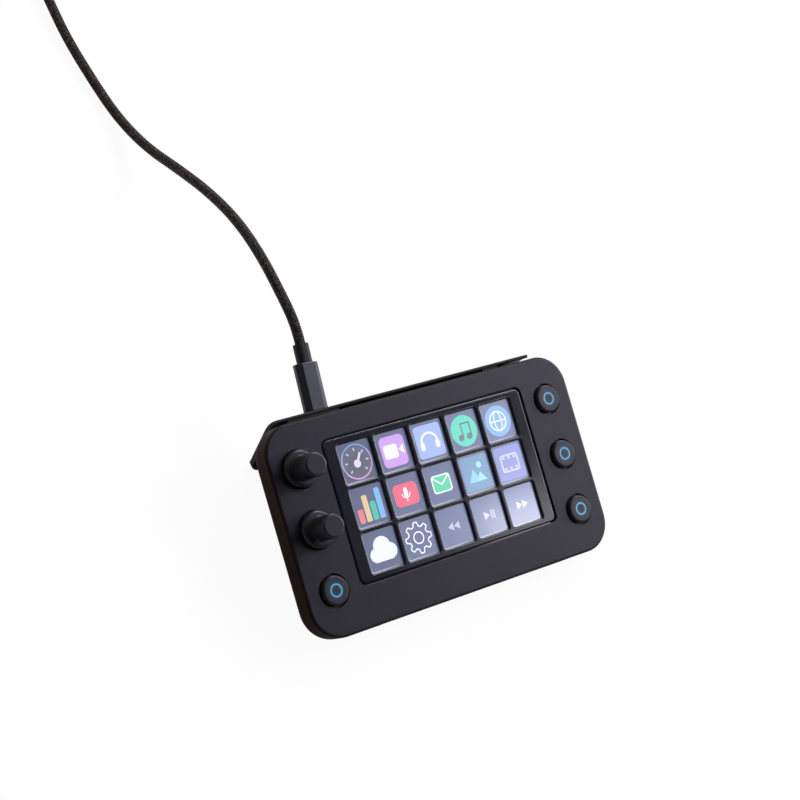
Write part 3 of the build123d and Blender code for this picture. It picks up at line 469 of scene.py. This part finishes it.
# painted shade on the walls: a dark brown base and a weak reflection stand for shade and a warm reflection
moulded = coat.shader({"Base Color": coat.mix(cloud, (0.0110, 0.0050, 0.0026), (0.0150, 0.0072, 0.0038)),
                       "Roughness": coat.spread(grain, 0.4, 0.7, 0.5, 0.6), "Specular IOR Level": 0.05},
                      relief=grain, depth=0.00003)
both = coat.node("MixShader", None, {0: wall_shade_share, 1: coated, 2: moulded})
coat.node("OutputMaterial", None, {"Surface": both})
dress(coat.material, "front_shell", "rear_cover")

# ---- clip-on stand and rubber feet ----
# One black moulding with a spark-eroded texture; cured rubber strip and pads with a dusty bloom.
plastic = Finish("stand_moulding")
pits = plastic.node("TexVoronoi", None, {"Vector": plastic.place(), "Scale": 2600.0})
flow = plastic.noise(40, 2.0, plastic.place(0.2, 1, 1))
plastic.surface({"Base Color": plastic.mix(flow, (0.0085, 0.0078, 0.0082), (0.0140, 0.0130, 0.0140)),
                 "Roughness": plastic.spread(pits, 0, 0.6, 0.62, 0.46), "Specular IOR Level": 0.10},
                relief=pits, depth=0.00003)
dress(plastic.material, "stand")
rubber = Finish("foot_rubber")
bloom = rubber.spread(rubber.noise(90, 4.0), 0.45, 0.75)
speck = rubber.noise(1800, 2.0)
rubber.surface({"Base Color": rubber.mix(bloom, (0.012, 0.012, 0.012), (0.035, 0.034, 0.033)),
                "Roughness": 0.82}, relief=speck, depth=0.00005)
dress(rubber.material, "stand_foot", "front_feet")

# ---- key grid and glass ----
# A polished blue-black moulding with rounded bars round the wells, over the touch glass.
gloss = Finish("gloss_grid")
swirl = gloss.noise(60, 2.0)
gloss.surface({"Base Color": gloss.mix(swirl, (0.0085, 0.0092, 0.0145), (0.0115, 0.0122, 0.0190)),
               "Roughness": gloss.spread(swirl, 0.3, 0.7, 0.14, 0.19), "Specular IOR Level": 0.28})
dress(gloss.material, "key_frame")
glass = Finish("touch_glass")
smear = glass.noise(35, 3.0)
glass.surface({"Base Color": glass.mix(smear, (0.010, 0.012, 0.022), (0.014, 0.016, 0.028)),
               "Roughness": glass.spread(smear, 0.4, 0.7, 0.04, 0.12)})
dress(glass.material, "touch_glass")

# ---- key pictures ----
# Fifteen lit areas of the display, seen through the glass in the grid's wells: slate blue, brighter to the
# right and downwards as painted light, with a rim that has a painted highlight at its lower left and painted
# shade towards its upper right, and a plain picture on each. Each shape is a thin print laid on the one
# below.
key_pitch = 17.8
keys_above_middle = 3.0
key_length, key_height = 15.4, 15.9
key_round = 0.9
picture_depth = 1.35
print_thickness = 0.004
key_fit = 0.02             # between a picture and its well
rim_width = 0.55
points_per_side = 16       # of a triangle
slate = (0.079, 0.109, 0.235)
# painted light: the keys' slate grows brighter to the right and further down
painted_light_across, painted_light_down = 0.13, 0.12    # from one key to the next, as a share of slate
gauge_dimmer = 0.1
# painted highlight and painted shadow for the keys' rims
painted_edge_highlight, painted_edge_shadow = (0.62, 0.64, 0.78), (0.10, 0.115, 0.19)
white = (0.82, 0.85, 0.90)
ink = (0.10, 0.14, 0.17)
aqua = (0.33, 0.68, 0.80)
lilac = (0.55, 0.56, 0.84)


def on_face(points):
    """Points (across, up, out) of the face in millimetres, in the frame."""
    x, y, z = np.moveaxis(np.asarray(points, float) * mm, -1, 0)[..., None]
    return face_middle + x * (1, 0, 0) + y * face_up + z * face_out


def circle(radius, x=0, y=0, start=0, end=360, count=40):
    """Points round a circle or an arc, in degrees from the right."""
    angle = np.radians(np.linspace(start, end, count))
    return np.column_stack([x + radius * np.cos(angle), y + radius * np.sin(angle)])


def rounded_box(width, height, radius, x=0, y=0):
    """Points round a box with round corners, a quarter circle at each corner."""
    off_x, off_y = width / 2 - radius, height / 2 - radius
    corners = [circle(radius, x + right * off_x, y + top * off_y, start, start + 90, 9)
               for right, top, start in ((1, 1, 0), (-1, 1, 90), (-1, -1, 180), (1, -1, 270))]
    return np.concatenate(corners + [corners[0][:1]])


def triangle(*corners):
    """Points along a triangle's sides, the corners among them and the first one again at the end."""
    corners = np.array(corners, float)
    share = np.arange(points_per_side) / points_per_side
    sides = corners[:, None] + (np.roll(corners, -1, axis=0) - corners)[:, None] * share[:, None]
    return np.concatenate([sides.reshape(-1, 2), corners[:1]])


def arrow(x, tip, back, half):
    """A triangle along the row, from its tip to its back, which reaches half above and below."""
    return triangle((x + tip, 0), (x + back, half), (x + back, -half))


prints = []


def lay(column, row, inner, outer, colour, level=1, rim=None):
    """A print on a key, between two outlines with the same number of points or from one point
    outwards: its section is a flat box, and its colour runs from the inner to the outer edge."""
    outer = np.asarray(outer, float)
    inner = np.broadcast_to(np.asarray(inner, float), outer.shape)
    closed = np.allclose(outer[0], outer[-1])
    if closed:
        inner, outer = inner[:-1], outer[:-1]
    x, y = (column - 2) * key_pitch, keys_above_middle + (1 - row) * key_pitch
    low, high = (print_thickness * height - picture_depth for height in (level - 1, level))
    bands = [np.column_stack([line + (x, y), np.full(len(line), z)])
             for line, z in ((inner, low), (outer, low), (outer, high), (inner, high))]
    rim = colour if rim is None else rim
    tints = [np.broadcast_to(shade, (len(outer), 3)) for shade in (colour, rim, rim, colour)]
    prints.append((np.stack(bands, 1), closed, np.stack(tints, 1)))


def stroke(column, row, line, width, colour, level=2):
    """A line of even width with square ends. Its corners are mitred, as far as 2.5 half widths out."""
    line = np.asarray(line, float)
    ahead = np.diff(line, axis=0)
    ahead /= np.linalg.norm(ahead, axis=1, keepdims=True)
    if np.allclose(line[0], line[-1]):
        before, after = np.vstack([ahead[-1:], ahead]), np.vstack([ahead, ahead[:1]])
    else:
        before, after = np.vstack([ahead[:1], ahead]), np.vstack([ahead, ahead[-1:]])
    mean = before + after
    mean /= np.linalg.norm(mean, axis=1, keepdims=True)
    reach = width / 2 / np.maximum((mean * before).sum(1), 0.4)
    sideways = np.column_stack([-mean[:, 1], mean[:, 0]]) * reach[:, None]
    lay(column, row, line + sideways, line - sideways, colour, level)


tile = rounded_box(key_length - 2 * key_fit, key_height - 2 * key_fit, key_round - key_fit)
rim_line = tile * (1 - 2 * rim_width / key_length, 1 - 2 * rim_width / key_height)
# the rim's painted highlight is strongest at the lower left and gives way to painted shadow towards the upper
# right
lit_lower_left = np.clip(-tile[:-1] / (key_length / 2) @ (0.6, 0.6), 0, 1)[:, None]
painted_edge_light_and_shade = lit_lower_left * painted_edge_highlight + (1 - lit_lower_left) * painted_edge_shadow
for row in range(3):
    for column in range(5):
        # painted light on the keys: brighter to the right and downwards
        gain = 1 + painted_light_across * (column - 2) - gauge_dimmer * (column == row == 0)
        shade = np.array(slate) * (1 + painted_light_down * (row - 1)) * gain
        lay(column, row, (0, 0), rim_line, shade, 0)
        lay(column, row, rim_line, tile, shade, 0, rim=painted_edge_light_and_shade)
# gauge
lay(0, 0, (0, 0), circle(6.8), (0.050, 0.048, 0.075), 1, rim=(0.075, 0.080, 0.125))
for start, end, colour in ((35, 145, (0.10, 0.33, 0.80)), (145, 215, (0.38, 0.36, 0.82)),
                           (215, 325, (0.74, 0.36, 0.74)), (325, 395, (0.42, 0.38, 0.80))):
    stroke(0, 0, circle(6.8, start=start, end=end, count=24), 0.5, colour)
for degrees in range(-45, 226, 45):
    outwards = np.array([cos(radians(degrees)), sin(radians(degrees))])
    stroke(0, 0, [outwards * 4.3, outwards * 5.5], 0.6, (0.42, 0.55, 0.78))
stroke(0, 0, [(0, -0.8), (2.4, 3.2)], 1.0, (0.62, 0.66, 0.86), 3)
lay(0, 0, (0, -0.8), circle(1.6, 0, -0.8), (0.72, 0.60, 0.82), 4)
# camera
lay(1, 0, (0, 0), rounded_box(11.8, 12.4, 2.2), (0.55, 0.30, 0.78), 1)
lay(1, 0, (-1.2, 0), rounded_box(6.6, 5.6, 1.0, -1.3, 0), white, 2)
lay(1, 0, (3.9, 0), arrow(0, 2.6, 5.0, 2.2), white, 2)
# headphones
lay(2, 0, (0, 0), rounded_box(13.2, 13.4, 1.6), (0.30, 0.42, 0.76), 1)
stroke(2, 0, circle(3.9, 0, -0.6, 180, 0, 30), 0.9, white)
for way in (-1, 1):
    lay(2, 0, (way * 3.7, -1.8), rounded_box(2.0, 3.4, 0.9, way * 3.7, -1.8), white, 3)
# music note
lay(3, 0, (0, 0), circle(6.5), (0.05, 0.62, 0.45), 1)
for x in (-2.2, 2.0):
    lay(3, 0, (x, -2.6), circle(1.35, x, -2.6), ink, 2)
stroke(3, 0, [(-1.1, -2.6), (-1.1, 3.0), (3.1, 3.0), (3.1, -2.6)], 0.7, ink)
# globe
lay(4, 0, (0, 0), circle(6.5), (0.17, 0.40, 0.70), 1)
stroke(4, 0, circle(4.0), 0.6, white)
stroke(4, 0, circle(4.0) * (0.45, 1), 0.5, white)
stroke(4, 0, [(-4.0, 0), (4.0, 0)], 0.5, white)
# bars
for i, (height, colour) in enumerate([(5.6, (0.78, 0.19, 0.22)), (10.6, (0.70, 0.52, 0.27)),
                                      (7.6, (0.02, 0.50, 0.36)), (12.2, (0.17, 0.45, 0.84))]):
    x = (i - 1.5) * 3.2
    lay(0, 1, (x, height / 2 - 6.1), rounded_box(2.5, height, 0.6, x, height / 2 - 6.1), colour, 1)
# microphone
lay(1, 1, (0, 0), rounded_box(11.6, 9.0, 2.2), (0.78, 0.09, 0.17), 1)
lay(1, 1, (0, 0.9), rounded_box(1.9, 3.8, 0.94, 0, 0.9), white, 2)
stroke(1, 1, circle(1.9, 0, 0.6, 180, 360, 24), 0.45, white)
stroke(1, 1, [(0, -1.3), (0, -2.8)], 0.45, white)
# envelope
lay(2, 1, (0, 0), rounded_box(9.4, 7.4, 1.4), white, 1)
lay(2, 1, (0, 0), rounded_box(8.2, 6.2, 0.9), (0.04, 0.60, 0.30), 2)
stroke(2, 1, [(-3.9, 2.8), (0, -0.4), (3.9, 2.8)], 0.6, white, 3)
# hills and sun
lay(3, 1, (0, 0), rounded_box(13.6, 14.2, 1.2), (0.13, 0.28, 0.47), 1)
lay(3, 1, (-1.4, -2.3), triangle((-4.4, -3.6), (-1.4, 1.8), (1.6, -3.6)), (0.24, 0.60, 0.74), 2)
lay(3, 1, (1.9, -2.6), triangle((-1.0, -3.6), (1.9, 0.2), (4.6, -3.6)), aqua, 3)
lay(3, 1, (2.2, 3.0), circle(1.3, 2.2, 3.0), aqua, 2)
# film strip
lay(4, 1, (0, 0), rounded_box(13.6, 14.2, 1.2), (0.21, 0.25, 0.60), 1)
stroke(4, 1, rounded_box(8.4, 6.6, 0.8), 0.8, lilac)
for x in (-2.8, 0, 2.8):
    for y in (-2.2, 2.2):
        lay(4, 1, (x, y), rounded_box(1.3, 0.9, 0.3, x, y), lilac, 3)
# cloud
for x, y, radius in ((-3.2, -1.6, 2.9), (0.2, 1.3, 4.0), (3.6, -1.2, 3.1)):
    lay(0, 2, (x, y), circle(radius, x, y), white, 2)
lay(0, 2, (0, -2.9), rounded_box(10.4, 3.2, 1.59, 0.1, -2.9), white, 3)
# cog, a circle whose radius swings in and out once for each of eight teeth, squared off by the tanh
wave = np.radians(np.linspace(0, 360, 97))
teeth_radius = 5.4 + 0.8 * np.tanh(3 * np.cos(8 * wave))
teeth = teeth_radius[:, None] * np.column_stack([np.cos(wave), np.sin(wave)])
stroke(1, 2, teeth, 0.55, white)
stroke(1, 2, circle(2.3), 0.55, white)
# back, play and pause, forward
for x in (-1.4, 1.6):
    lay(2, 2, (x, 0), arrow(x, -1.6, 1.1, 1.7), (0.48, 0.51, 0.60), 2)
    lay(4, 2, (x, 0), arrow(x, 1.3, -1.4, 1.7), (0.62, 0.64, 0.72), 2)
lay(3, 2, (-1.2, 0), arrow(0, 0.6, -2.2, 1.8), (0.55, 0.58, 0.66), 2)
for x in (1.5, 2.8):
    stroke(3, 2, [(x, -1.8), (x, 1.8)], 0.6, (0.55, 0.58, 0.66))

picture_points, picture_faces, picture_tints, count = [], [], [], 0
for rings, closed, tints in prints:
    picture_points.append(rings.reshape(-1, 3))
    picture_tints.append(tints.reshape(-1, 3))
    picture_faces += [[count + i for i in face] for face in ring_faces(len(rings), 4, closed)]
    count += rings.shape[0] * 4
lit = Finish("lit_picture")
tint = lit.node("Attribute", {"attribute_name": "tint"}, out="Color")
dots = lit.noise(900, 1.0)
lit.surface({"Base Color": lit.mix(0.6, tint, (0.01, 0.01, 0.015)), "Emission Color": tint,
             "Emission Strength": 0.75, "Roughness": lit.spread(dots, 0.3, 0.7, 0.08, 0.11),
             "Coat Weight": 1.0, "Coat Roughness": 0.31, "Coat IOR": 1.7})
pictures = new_piece("key_pictures", on_face(np.concatenate(picture_points)), picture_faces, "casing",
                     lit.material)
layer = pictures.data.color_attributes.new(name="tint", type="FLOAT_COLOR", domain="POINT")
shades = np.column_stack([np.concatenate(picture_tints), np.ones(count)])
layer.data.foreach_set("color", shades.ravel())
pictures.data.polygons.foreach_set("use_smooth", np.zeros(len(pictures.data.polygons), bool))

# ---- knobs ----
# Moulded charcoal knobs with a fine satin skin, on turned aluminium shafts in nickel-plated bushings.
satin = Finish("knob_satin")
grain = satin.noise(3600, 3.0)
wear = satin.noise(70, 3.0)
satin.surface({"Base Color": satin.mix(wear, (0.0098, 0.0092, 0.0125), (0.0130, 0.0122, 0.0170)),
               "Roughness": satin.spread(grain, 0.3, 0.7, 0.28, 0.36), "Specular IOR Level": 0.24},
              relief=grain, depth=0.00002)
dress(satin.material, "knob_upper", "knob_lower")
turned = Finish("turned_shaft")
lines = turned.noise(1200, 2.0, turned.place(0.05, 0.3, 1))
turned.surface({"Base Color": turned.mix(lines, (0.60, 0.60, 0.60), (0.78, 0.78, 0.77)), "Metallic": 1.0,
                "Roughness": turned.spread(lines, 0.3, 0.7, 0.24, 0.4)}, relief=lines, depth=0.00001)
nickel = Finish("nickel_plate")
tarnish = nickel.noise(220, 3.0)
nickel.surface({"Base Color": nickel.mix(tarnish, (0.62, 0.60, 0.55), (0.74, 0.73, 0.70)), "Metallic": 1.0,
                "Roughness": nickel.spread(tarnish, 0.3, 0.7, 0.16, 0.3)})
acetal = Finish("acetal")
milky = acetal.noise(300, 2.0)
acetal.surface({"Base Color": acetal.mix(milky, (0.72, 0.71, 0.66), (0.80, 0.79, 0.75)), "Roughness": 0.4})
black = Finish("switch_moulding")
pits = black.noise(2200, 2.0)
black.surface({"Base Color": black.mix(pits, (0.012, 0.012, 0.013), (0.02, 0.02, 0.022)),
               "Roughness": black.spread(pits, 0.3, 0.7, 0.42, 0.56)}, relief=pits, depth=0.00002)
for name in ("upper", "lower"):
    dress(turned.material, f"encoder_shaft_{name}")
    dress(nickel.material, f"encoder_bushing_{name}", f"encoder_nut_{name}")
    dress(acetal.material, f"push_plunger_{name}")
    dress(black.material, f"encoder_body_{name}")

# ---- push buttons ----
# Moulded caps with a clear ring let into the top, lit cyan from the lamp beside the switch. Round the ring,
# on both sides, the cap has a painted glow for the light that spills over it.
painted_glow_reach = 1.5 * mm
band_middle = 0.9          # of the ring's outer radius
ring = Finish("lit_ring")
cyan = ring.mix(ring.noise(260, 2.0), (0.05, 0.33, 0.56), (0.08, 0.40, 0.62))
ring.surface({"Base Color": (0.03, 0.16, 0.24), "Emission Color": cyan, "Emission Strength": 0.72,
              "Roughness": 0.3})
for name in ("right_upper", "right_middle", "right_lower", "left"):
    low, high = (np.array(corner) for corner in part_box(f"ring_{name}"))
    radius = (high - low)[0] / 2
    cap = Finish(f"button_cap_{name}")
    away = cap.node("VectorMath", {"operation": "DISTANCE"},
                    {0: cap.node("TexCoord", out="Object"), 1: tuple((low + high) / 2)}, out="Value")
    off = (away - radius * band_middle).math("ABSOLUTE")
    # painted glow on the cap: strongest at the middle of the ring's band and gone a reach away
    painted_glow = cap.spread(off, 0.0, painted_glow_reach, 1.0, 0.0)
    grain = cap.noise(3800, 3.0)
    cloud = cap.noise(120, 2.0)
    cap.surface({"Base Color": cap.mix(cloud, (0.0125, 0.0113, 0.0165), (0.0160, 0.0145, 0.0205)),
                 "Roughness": cap.spread(grain, 0.3, 0.7, 0.36, 0.48), "Specular IOR Level": 0.22,
                 "Emission Color": cap.mix(painted_glow * painted_glow, (0, 0, 0), (0, 0.09, 0.22)),
                 "Emission Strength": 1.0}, relief=grain, depth=0.00002)
    dress(cap.material, f"button_{name}")
    dress(ring.material, f"ring_{name}")
    dress(black.material, f"switch_{name}")

# ---- boards and what they carry ----
# Green masked boards with copper under the mask, sheet steel cans, foam, amber ribbons, screws.
mask = Finish("solder_mask")
track = mask.node("TexBrick", None, {"Vector": mask.place(), "Scale": 260.0, "Mortar Size": 0.12,
                                     "Color1": (1, 1, 1, 1), "Color2": (0.7, 0.7, 0.7, 1),
                                     "Mortar": (0, 0, 0, 1)})
mask.surface({"Base Color": mask.mix(track, (0.010, 0.055, 0.030), (0.016, 0.090, 0.048)), "Roughness": 0.32},
             relief=track, depth=0.00003)
dress(mask.material, "main_board", "knob_board")
steel = Finish("sheet_steel")
rolled = steel.noise(500, 3.0, steel.place(0.04, 1, 1))
steel.surface({"Base Color": steel.mix(rolled, (0.46, 0.46, 0.45), (0.60, 0.60, 0.58)), "Metallic": 1.0,
               "Roughness": steel.spread(rolled, 0.3, 0.7, 0.28, 0.42)}, relief=rolled, depth=0.00001)
dress(steel.material, "lcd_backplate", "processor_can", "haptic_motor")
panel = Finish("panel_film")
pixel = panel.noise(2400, 1.0)
panel.surface({"Base Color": panel.mix(pixel, (0.02, 0.024, 0.04), (0.03, 0.034, 0.052)), "Roughness": 0.2})
dress(panel.material, "lcd_panel")
foam = Finish("foam")
cells = foam.node("TexVoronoi", None, {"Vector": foam.place(), "Scale": 1800.0})
foam.surface({"Base Color": foam.mix(cells, (0.05, 0.05, 0.05), (0.09, 0.09, 0.09)), "Roughness": 0.95},
             relief=cells, depth=0.0002)
dress(foam.material, "display_foam")
ribbon = Finish("ribbon")
traces = ribbon.node("TexWave", {"wave_type": "BANDS", "bands_direction": "X"},
                     {"Vector": ribbon.place(), "Scale": 320.0})
ribbon.surface({"Base Color": ribbon.mix(traces, (0.36, 0.17, 0.03), (0.50, 0.26, 0.06)), "Roughness": 0.35})
dress(ribbon.material, "display_flex", "board_link")
zinc = Finish("dark_zinc")
mottle = zinc.noise(900, 3.0)
zinc.surface({"Base Color": zinc.mix(mottle, (0.14, 0.14, 0.15), (0.24, 0.24, 0.25)), "Metallic": 1.0,
              "Roughness": zinc.spread(mottle, 0.3, 0.7, 0.3, 0.45)}, relief=mottle, depth=0.00001)
dress(zinc.material, "board_screws", "case_screws")
lamp = Finish("lamp_body")
resin = lamp.noise(900, 1.0)
lamp.surface({"Base Color": lamp.mix(resin, (0.72, 0.72, 0.66), (0.80, 0.80, 0.74)), "Roughness": 0.3})
dress(lamp.material, "ring_leds")

low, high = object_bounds()
